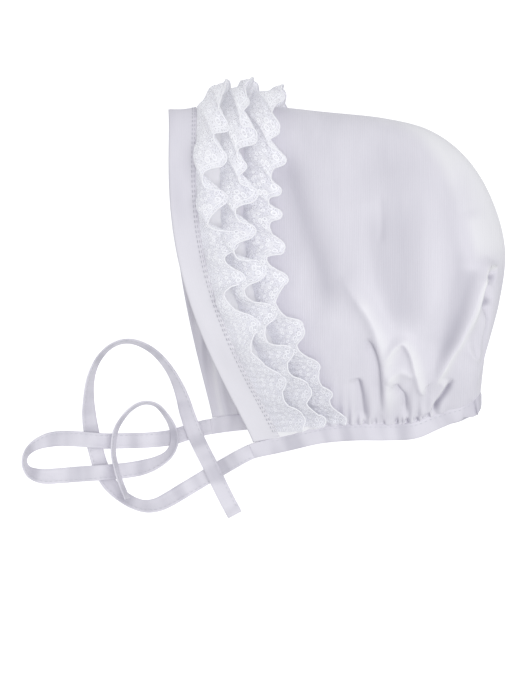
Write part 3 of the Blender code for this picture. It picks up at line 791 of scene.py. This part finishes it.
# Painted sheen on the near outer face, and painted shade and highlight by the puckers and waves
painted_sheen = BAND_PAINTED_SHEEN * smooth_step((over - SHEEN_FROM) / SHEEN_OVER)
relief = 1000 * BAND_SHADING_PAINTED_A_MILLIMETRE * np.where(outer > 0, puckers, waves)
set_painted_shading(band, 0.5 + relief + painted_sheen * (outer > 0))
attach(band, "root")
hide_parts("front_band")
# Neck binding
# A folded bias strip, sewn over the gathered neck edge from one front corner to the other, where
# the ties carry it on.
BINDING_WIDTH = 0.0080
BINDING_LAP = 0.0008
BINDING_FRONT_RISE = 0.25
BINDING_FRONT_SHARE = 0.12
NEAR_EDGE_SHARE, NAPE_SHARE = 0.45, 0.10
EDGE_SAMPLES = 401
EDGE_SMOOTHING = 20
EDGE_INSET = 0.002
BINDING_RINGS = 520
JOIN_SHARE = 0.08
# Where the binding lies level, where it faces across the hood and where it rolls under, as shares
# of its length: from, to, and the fades at both ends. Then how much, with the roll in degrees.
LEVEL_AT, LEVEL_SHARE = (0.0, NEAR_EDGE_SHARE + NAPE_SHARE / 2, 0.10, 0.03), 0.85
SQUARE_AT, SQUARE_SHARE = (0.37, 0.58, 0.06, 0.04), 0.80
ROLL_AT, NAPE_ROLL = (0.16, 0.43, 0.16, 0.08), 24


def neck_edge(share):
    """Places along and over the hood on the neck edge, from front corner to front corner."""
    far_share = 1 - NEAR_EDGE_SHARE - NAPE_SHARE
    along = np.clip(np.minimum(share / NEAR_EDGE_SHARE, (1 - share) / far_share), 0, 1)
    over = 1 - 2 * np.clip((share - NEAR_EDGE_SHARE) / NAPE_SHARE, 0, 1)
    return along, over


def binding_edge(count):
    """Shares of the binding's length, its inner edge there and the way out from the cloth: square
    to the edge and the hood's normal, and smoothed along the edge."""
    fine = np.linspace(0, 1, EDGE_SAMPLES)
    along, over = neck_edge(fine)
    edge = smooth_hood(along, over)
    inside = np.clip(along, EDGE_INSET, 1 - EDGE_INSET)
    facing = normals_of(smooth_hood, inside, over * (1 - EDGE_INSET))
    outward = unit(np.cross(np.gradient(edge, axis=0), facing))
    outward[:, 2] += BINDING_FRONT_RISE * smooth_step(1 - fine / BINDING_FRONT_SHARE)
    weights = np.hanning(2 * EDGE_SMOOTHING + 1)
    padded = np.pad(outward, ((EDGE_SMOOTHING, EDGE_SMOOTHING), (0, 0)), mode="edge")
    parts = [np.convolve(part, weights / weights.sum(), mode="valid") for part in padded.T]
    at = np.linspace(0, 1, count)
    return at, read_at(at, fine, edge), unit(read_at(at, fine, unit(np.stack(parts, axis=1))))


at, edge_line, edge_out = binding_edge(BINDING_RINGS)
edge_out[:, 2] *= 1 - LEVEL_SHARE * between(at, *LEVEL_AT)
edge_out[:, 0] *= 1 - SQUARE_SHARE * between(at, *SQUARE_AT)
edge_out = unit(edge_out)
edge_up = unit(np.cross(edge_out, unit(np.gradient(edge_line, axis=0))))
roll = np.radians(NAPE_ROLL) * between(at, *ROLL_AT)
cosine, sine = np.cos(roll)[:, None], np.sin(roll)[:, None]
edge_out, edge_up = edge_out * cosine - edge_up * sine, edge_up * cosine + edge_out * sine
middle = edge_line + edge_out * (BINDING_WIDTH / 2 - BINDING_LAP)
joins = [smooth_step(1 - share / JOIN_SHARE)[:, None] for share in (at, 1 - at)]
for join, (line, across, up), side in zip(joins, (near_tie_frames, far_tie_frames), (1, -1)):
    middle = toward(middle, line[0], join)
    edge_out = unit(toward(edge_out, across[0], join))
    edge_up = unit(toward(edge_up, side * up[0], join))
joined = sum(joins)
binding = swept(
    "bias_binding", middle, -edge_out * toward(1, TIE_WIDTH / BINDING_WIDTH, joined),
    edge_up * toward(1, TIE_THICKNESS / BINDING_THICKNESS, joined),
    strip_profile(BINDING_WIDTH, BINDING_THICKNESS), tie_satin,
)
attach(binding, "root")
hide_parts("neck_binding")

# Lace
# Three tiers of gathered net lace stand behind the band. Each is sewn down along its root, falls
# back in overlapping folds, and ends in a corded, scalloped edge with small rings worked inside it.
LACE_WIDTH = 0.0185
# The tiers' seams, which close up from one pitch to another towards the near corner
LACE_PITCH, LOW_PITCH = 0.0112, 0.0092
CLOSES_FROM, CLOSES_OVER = 0.25, 0.30
LACE_REACH, SEAM_SAMPLES = 0.975, 400
# How far the lace lies off the cloth, and the share of that at its root
LACE_REST, REST_AT_ROOT = 0.0012, 0.6
SIDE_BLEND = 0.10
CREST_SPREAD = 0.15
# How steeply each tier stands on the near side and on the crest, in degrees, how sharply its folds
# turn at their sides, in radians, and how many folds it has from corner to corner
TIER_COLUMNS = "name node stand crest bend folds shift".split()
TIERS = (
    ("lace_front", "ruffle_front", 38, 40, 1.24, 19, 0.3),
    ("lace_middle", "ruffle_middle", 36, 42, 1.34, 22, 2.1),
    ("lace_back", "ruffle_back", 26, 31, 1.16, 24, 4.0),
)
FAR_STAND, FAR_BEND = 3, 0.30
CREST_BEND, MOST_BEND, BEND_GROWTH = 0.18, 1.5, 0.8
# How unevenly the folds turn and wander: sizes, how fast each changes from corner to corner, and
# how much of the tier's shift it takes
BEND_CHANGES = ((0.30, 83, 1), (0.22, 139, 0))
WANDERS = ((0.7, 25, 1), (0.4, 67, 2))
# How far the folds swing back rather than up, in degrees
SWING_TILT = 64
# How much steeper a tier rises at its root, and how much flatter it lies at its edge, in degrees
LACE_ARCH = 26
# Towards the near corner the tiers lie flatter and narrower, in fewer and larger folds
CORNER_FROM, CORNER_STAND, CORNER_BEND, CORNER_WIDTH = 0.34, 0.35, 0.40, 0.80
CORNER_PACE = 0.075
# Small pleats where each tier is gathered onto its seam
GATHER_DEPTH, GATHER_PITCH, GATHER_DRIFT, GATHER_REACH = 0.00070, 0.0040, (2, 210), 0.50
SCALLOP_PITCH, SCALLOP_DEPTH, SCALLOP_POWER = 0.0090, 0.0011, 0.7
EDGE_CORD, CORD_SIDES, CORD_TURN = 0.00029, 6, 0.0004
# A worked line runs along the edge, this far in, and small rings fill each scallop: how far aside,
# as a share of the scallop, how far in, and the radius
BORDER_IN = 0.0013
LACE_RINGS = (
    (0.20, 0.0028, 0.0009), (0.03, 0.0047, 0.0008), (0.36, 0.0066, 0.0006), (0.14, 0.0086, 0.0006),
    (0.40, 0.0108, 0.0006), (0.22, 0.0126, 0.0005),
)
LACE_COLUMNS, LACE_ROWS = 1500, 15
LACE_WHITE = (0.96, 0.96, 0.99, 1.0)
NET_WHITE = (0.88, 0.88, 0.935, 1.0)
# A grey for shade painted on the lace towards the near corner, and how much; then a highlight
# painted on about the crest: how much, where and how far
LACE_PAINTED_SHADE = (0.55, 0.55, 0.62, 1.0)
CORNER_PAINTED_SHADE = -0.20
CREST_PAINTED_LIGHT, PAINTED_CREST_AT, PAINTED_CREST_OVER = 0.35, 0.12, 0.30


def lace_finish(name):
    """Net lace: a fine mesh that the light passes, closed up by worked rings, sprigs and a line
    along its edge. The cloth's flat place gives the distance along the edge and in from it."""
    finish, start = new_finish(name)
    place = start.cloth()
    along, inward = place.split()
    cells = start.node(
        "TexVoronoi", {"feature": "DISTANCE_TO_EDGE"}, {"Vector": place, "Scale": 1150.0}
    )
    side = start.math("ABSOLUTE", start.math("FRACT", along / SCALLOP_PITCH) - 0.5) * SCALLOP_PITCH
    worked = start.math("ABSOLUTE", inward - BORDER_IN).ramp(0.00012, 0.0003, 0.9, 0.0)
    for aside, deep, radius in LACE_RINGS:
        from_x, from_y = side - SCALLOP_PITCH * aside, inward - deep
        away = start.math("SQRT", from_x * from_x + from_y * from_y)
        ring = start.math("ABSOLUTE", away - radius).ramp(0.0002, 0.0004, 1.0, 0.0)
        worked = start.math("MAXIMUM", worked, ring)
    sprigs = place.scaled(1.0, 0.55).noise(560.0, 1.0).ramp(0.51, 0.58)
    worked = start.math("MAXIMUM", worked, sprigs * inward.ramp(0.0190, 0.0120) * 0.75)
    relief = worked + cells.ramp(0.02, 0.2, 0.25, 0.0)
    tone = start.tone()
    # Painted highlight towards white where the attribute is high, painted shade towards grey where
    # it is low
    colour = tone.ramp(0.5, 1.0).mixed(worked.mixed(NET_WHITE, LACE_WHITE), LACE_WHITE)
    colour = tone.ramp(0.5, 0.0).mixed(colour, LACE_PAINTED_SHADE)
    # A faint painted glow makes the lace whiter than its light alone would
    show(start, {
        "Base Color": colour, "Roughness": 0.75, "Normal": relief.bump(0.00008),
        "Alpha": start.math("MAXIMUM", cells.ramp(0.05, 0.22, 0.86, 0.60), worked),
        "Specular IOR Level": 0.2, "Emission Color": LACE_WHITE, "Emission Strength": 0.06,
    })
    return finish


def cord_finish(name):
    """Close-wound white thread: thin turns across the cord."""
    finish, start = new_finish(name)
    turns = start.cloth().split()[0].waves(CORD_TURN)
    # A faint painted glow makes the cord whiter than its light alone would
    show(start, {
        "Base Color": LACE_WHITE, "Roughness": 0.55, "Normal": turns.bump(0.00005),
        "Emission Color": LACE_WHITE, "Emission Strength": 0.05,
    })
    return finish


lace_net = lace_finish("lace")
lace_cord = cord_finish("lace_cord")


def running_sum(steps):
    """Sums down the columns of a table, from 0."""
    return np.concatenate([np.zeros((1, steps.shape[1])), np.cumsum(steps[:-1], axis=0)])


def averaged(values, window):
    """Each column's mean over so many rows on both sides."""
    held = np.pad(values, ((window, window), (0, 0)), mode="edge")
    total = np.concatenate([np.zeros((1, values.shape[1])), np.cumsum(held, axis=0)])
    return (total[2 * window:] - total[:-2 * window])[:len(values)] / (2 * window)


def lace_tier(tier):
    """One tier. Along its edge the cloth turns to and fro, as a river does: its direction is the
    fold's bend times the sine of the distance gone, less towards the straight root. The running
    sums of that direction's cosine and sine are how far it has come along the seam and how far
    it has swung out to either side. From root to edge it lies on an arc of a circle."""
    row = dict(zip(TIER_COLUMNS, TIERS[tier]))

    def root_behind(over):
        """How far behind the face edge the tier is sewn on."""
        closed = smooth_step((over - CLOSES_FROM) / CLOSES_OVER)
        return BAND_WIDTH + SEAM_GAP + tier * toward(LACE_PITCH, LOW_PITCH, closed)

    seam_overs = np.linspace(LACE_REACH, -LACE_REACH, SEAM_SAMPLES)
    seam_places = place_behind(root_behind(seam_overs), seam_overs)
    seam_gone = gone_along(smooth_hood(seam_places, seam_overs))
    seam = seam_gone[-1]
    share, across = np.meshgrid(
        np.linspace(0, 1, LACE_COLUMNS), np.linspace(0, 1, LACE_ROWS), indexing="ij"
    )

    def uneven(changes):
        """A sum of sines along the tier."""
        shift = row["shift"]
        return sum(size * np.sin(share * rate + part * shift) for size, rate, part in changes)

    over = np.interp(share * seam, seam_gone, seam_overs)
    nearness = smooth_step(over / SIDE_BLEND + 0.5)
    corner = smooth_step((over - CORNER_FROM) / (1 - CORNER_FROM))
    crest = bell(over / CREST_SPREAD)
    stand = toward(FAR_STAND, row["stand"], nearness) * toward(1, CORNER_STAND, corner)
    stand, tilt = np.radians(toward(stand, row["crest"], crest)), np.radians(SWING_TILT)
    arch = np.radians(LACE_ARCH) * np.maximum(nearness * (1 - corner), 0.001)
    here = stand + arch * (1 - 2 * across)
    ahead = (np.sin(stand + arch) - np.sin(here)) / (2 * arch)
    rise = (np.cos(here) - np.cos(stand + arch)) / (2 * arch)
    bend = toward(FAR_BEND, row["bend"], nearness) * toward(1, CORNER_BEND, corner)
    bend = bend * toward(1, CREST_BEND, crest) * (1 + uneven(BEND_CHANGES))
    bend = np.minimum(bend, MOST_BEND)
    turn = 2 * np.pi * row["folds"] * (share + CORNER_PACE * corner) + uneven(WANDERS)
    slope = bend * across**BEND_GROWTH * np.sin(turn)
    fullness = 1 / (1 - bend**2 / 4 + bend**4 / 64)
    along_seam = running_sum(np.cos(slope) * fullness)
    swing = running_sum(np.sin(slope) * fullness)
    swing = (swing - averaged(swing, LACE_COLUMNS // row["folds"])) * seam / along_seam[-1]
    reached = along_seam / along_seam[-1] * seam
    over = np.interp(reached, seam_gone, seam_overs)
    pleats = np.sin(drifting(reached, GATHER_PITCH, *GATHER_DRIFT))
    gathered = GATHER_DEPTH * (1 + pleats) / 2 * bell(across / GATHER_REACH) * nearness

    def laid(width):
        """The tier's points for a width of lace at each column."""
        out = width * toward(1, CORNER_WIDTH, corner)
        behind = root_behind(over) + out * ahead - swing * np.sin(tilt)
        lift = LACE_REST * toward(REST_AT_ROOT, 1, across) + out * rise + swing * np.cos(tilt)
        lift = (lift + np.hypot(lift, 2 * LACE_REST * across)) / 2 + gathered
        along = place_behind(behind, over)
        return hood(along, over) + normals_of(smooth_hood, along, over) * lift[..., None]

    gone = gone_along(laid(LACE_WIDTH)[:, -1])
    scallop = np.abs(np.sin(np.pi * gone / SCALLOP_PITCH)) ** SCALLOP_POWER
    width = LACE_WIDTH - SCALLOP_DEPTH * (1 - scallop)[:, None]
    points = laid(width)
    points[..., 2] = np.maximum(points[..., 2], 1.5 * EDGE_CORD)
    flat = np.stack([np.broadcast_to(gone[:, None], share.shape), width * (1 - across)], axis=-1)
    piece = made_piece(row["name"], points, grid_quads(*share.shape)[:, ::-1], flat, lace_net)
    # Painted shade towards the near corner and painted highlight about the crest
    lit = smooth_step(1 - np.abs(over - PAINTED_CREST_AT) / PAINTED_CREST_OVER)
    set_painted_shading(piece, 0.5 + CORNER_PAINTED_SHADE * corner + CREST_PAINTED_LIGHT * lit)
    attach(piece, "root")
    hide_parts(row["node"])
    edge = evenly(points[:, -1], LACE_COLUMNS)[0]
    forward = unit(np.gradient(edge, axis=0))
    level = unit(np.cross([0.0, 0.0, 1.0], forward) + 1e-9)
    turn = np.linspace(0, 2 * np.pi, CORD_SIDES, endpoint=False)
    circle = np.stack([np.cos(turn), np.sin(turn)], axis=1) * EDGE_CORD
    corded = swept(row["name"] + "_cord", edge, level, np.cross(forward, level), circle, lace_cord)
    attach(corded, "root")


for tier in range(len(TIERS)):
    lace_tier(tier)

# Stitches
# Machine thread: two rows along the band's seam, in a grey that is partly painted shade of the
# stitch holes, then grey-white, one row along the binding and one along each tie, every stitch lying
# in the cloth at its ends.
STITCH_LENGTH, STITCH_PITCH, STITCH_RADIUS = 0.0015, 0.0023, 0.00013
# A stitch from end to end: the place as a share of its length, and the radius and the rise off the
# cloth as shares of its radius
STITCH_RINGS = ((-0.5, 0.25, -1.2), (-0.28, 1.0, 0.0), (0.28, 1.0, 0.0), (0.5, 0.25, -1.2))
STITCHED_TO, STITCHED_SAMPLES = 0.985, 900
# How far the rows lie from the band's seam edge, the binding's inner edge and a tie's middle, and
# how high, as shares of the stitch's radius on the band and of half the binding's thickness
BAND_ROW_INSETS, BINDING_ROW_INSET, TIE_ROW_AT = (0.0007, 0.0018), 0.0016, 0.0024
BAND_ROW_RISE, BINDING_ROW_RISE = 0.4, 0.94


def stitches(name, line, up, finish):
    """A stitch at each pitch of the line: a spindle of four rings of four points, its ends sunk."""
    gone = gone_along(line)
    at = np.arange(STITCH_PITCH, gone[-1] - STITCH_PITCH, STITCH_PITCH)
    middle = read_at(at, gone, line)
    high = unit(read_at(at, gone, up))
    forward = unit(read_at(at + STITCH_LENGTH / 3, gone, line) - middle)
    side = np.cross(high, forward)
    scales = np.array([STITCH_LENGTH, STITCH_RADIUS, STITCH_RADIUS])
    station, thick, sunk = (np.array(STITCH_RINGS) * scales).T[..., None]
    turn = np.arange(4) * np.pi / 2 + np.pi / 4
    points = (
        middle[:, None, None]
        + forward[:, None, None] * station[..., None]
        + side[:, None, None] * (thick * np.cos(turn))[..., None]
        + high[:, None, None] * (thick * np.sin(turn) + sunk)[..., None]
    )
    one = [*grid_quads(4, 4, around=True)[:, ::-1], np.arange(4)[::-1], np.arange(12, 16)]
    faces = (np.array(one)[None] + 16 * np.arange(len(at))[:, None, None]).reshape(-1, 4)
    piece = made_piece(name, points, faces, np.zeros((points.size // 3, 2)), finish)
    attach(piece, "root")


def thread_finish(name, deep, light):
    """Twisted sewing thread, a shade darker than the cloth."""
    finish, start = new_finish(name)
    twist = start.node("TexCoord", {}, {}, 3).noise(3000.0, 1.0)
    show(start, {"Base Color": twist.mixed((*deep, 1.0), (*light, 1.0)), "Roughness": 0.6})
    return finish


# The band's thread is dark grey, partly the thread's own colour and partly painted shade of its
# stitch holes
shade_painted_thread = thread_finish("shade_painted_thread", (0.40, 0.40, 0.44), (0.60, 0.60, 0.65))
pale_thread = thread_finish("pale_thread", (0.58, 0.58, 0.63), (0.70, 0.70, 0.76))
overs = np.linspace(STITCHED_TO, -STITCHED_TO, STITCHED_SAMPLES)
for number, inset in enumerate(BAND_ROW_INSETS):
    place = place_behind(np.full_like(overs, BAND_WIDTH - inset), overs)
    up = normals_of(smooth_hood, place, overs)
    line = smooth_hood(place, overs) + up * (BAND_THICKNESS / 2 + STITCH_RADIUS * BAND_ROW_RISE)
    stitches(f"band_stitches_{number + 1}", line, up, shade_painted_thread)
inner = edge_line + edge_out * (BINDING_ROW_INSET - BINDING_LAP)
inner = inner + edge_up * (BINDING_THICKNESS / 2 * BINDING_ROW_RISE)
stitches("binding_stitches", inner, edge_up, pale_thread)
for name, (line, across, up), edge in (
    ("near_tie_stitches", near_tie_frames, 1), ("far_tie_stitches", far_tie_frames, -1)
):
    row_line = line + across * edge * TIE_ROW_AT + up * (TIE_THICKNESS / 2)
    stitches(name, row_line, up, pale_thread)

# Table and light
# A plain white table under an even white sky, with one broad soft lamp from the bonnet's back.
TABLE_SIZE = 6.0
TABLE_LEVEL = -0.0004
TABLE_WHITE, TABLE_GLOW = (0.9, 0.9, 0.9, 1.0), 0.55
SKY_WHITE, SKY_LIGHT = (0.97, 0.98, 1.0, 1.0), 0.74
LAMP_POWER, LAMP_SPREAD = 0.90, 0.6
LAMP_FROM = (0.18, -0.08, 1.00)

table_mesh = bpy.data.meshes.new("table")
corners = np.array([(-1, -1, 0), (1, -1, 0), (1, 1, 0), (-1, 1, 0)]) * (TABLE_SIZE / 2)
table_mesh.from_pydata(corners + (0, 0, TABLE_LEVEL), [], [(0, 1, 2, 3)])
table = placed("table", table_mesh)
table.visible_diffuse = False
table.visible_glossy = False
table_white, start = new_finish("table_white")
show(start, {
    "Base Color": TABLE_WHITE, "Roughness": 0.9, "Specular IOR Level": 0.0,
    "Emission Color": (1.0, 1.0, 1.0, 1.0), "Emission Strength": TABLE_GLOW,
})
table_mesh.materials.append(table_white)

world = bpy.data.worlds.new("sky")
world.use_nodes = True
sky = world.node_tree.nodes["Background"].inputs
sky["Color"].default_value = SKY_WHITE
sky["Strength"].default_value = SKY_LIGHT
bpy.context.scene.world = world
lamp_data = bpy.data.lights.new("soft_lamp", "SUN")
lamp_data.energy = LAMP_POWER
lamp_data.angle = LAMP_SPREAD
lamp = placed("soft_lamp", lamp_data)
lamp.rotation_euler = Vector(LAMP_FROM).to_track_quat("Z", "Y").to_euler()
